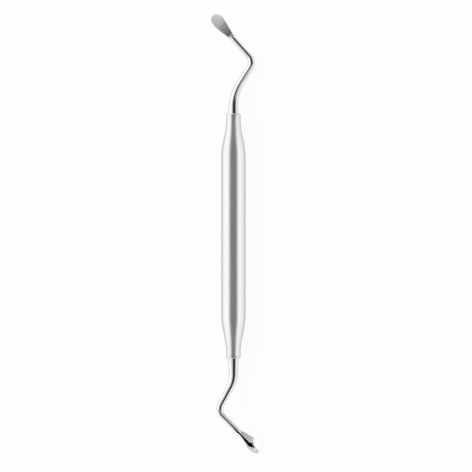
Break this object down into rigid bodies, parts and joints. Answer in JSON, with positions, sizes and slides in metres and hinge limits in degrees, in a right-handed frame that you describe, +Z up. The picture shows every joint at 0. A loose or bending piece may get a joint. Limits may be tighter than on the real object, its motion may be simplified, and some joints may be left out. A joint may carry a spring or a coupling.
{
  "type": "double-ended bone curette",
  "caption": "Slim double-ended hand instrument: satin hollow handle with necked mouths, and at each end a bent tapering shank that carries a small dished spoon.",
  "frame": {"origin": "bottom centre of the instrument's box as it lies at rest, on the surface that it lies on", "axes": "+Y along the handle, towards the end whose spoon faces up; +Z up from the surface; +X to the right seen from above"},
  "size_m": [0.0176, 0.1708, 0.0094],
  "materials": {
    "satin_steel": "bead-blasted satin stainless steel",
    "polished_steel": "mirror-polished stainless steel with matt spoon faces"
  },
  "bodies": {
    "root": {"handle": "satin_steel", "upper_spoon_end": "polished_steel", "lower_spoon_end": "polished_steel"}
  },
  "joints": []
}
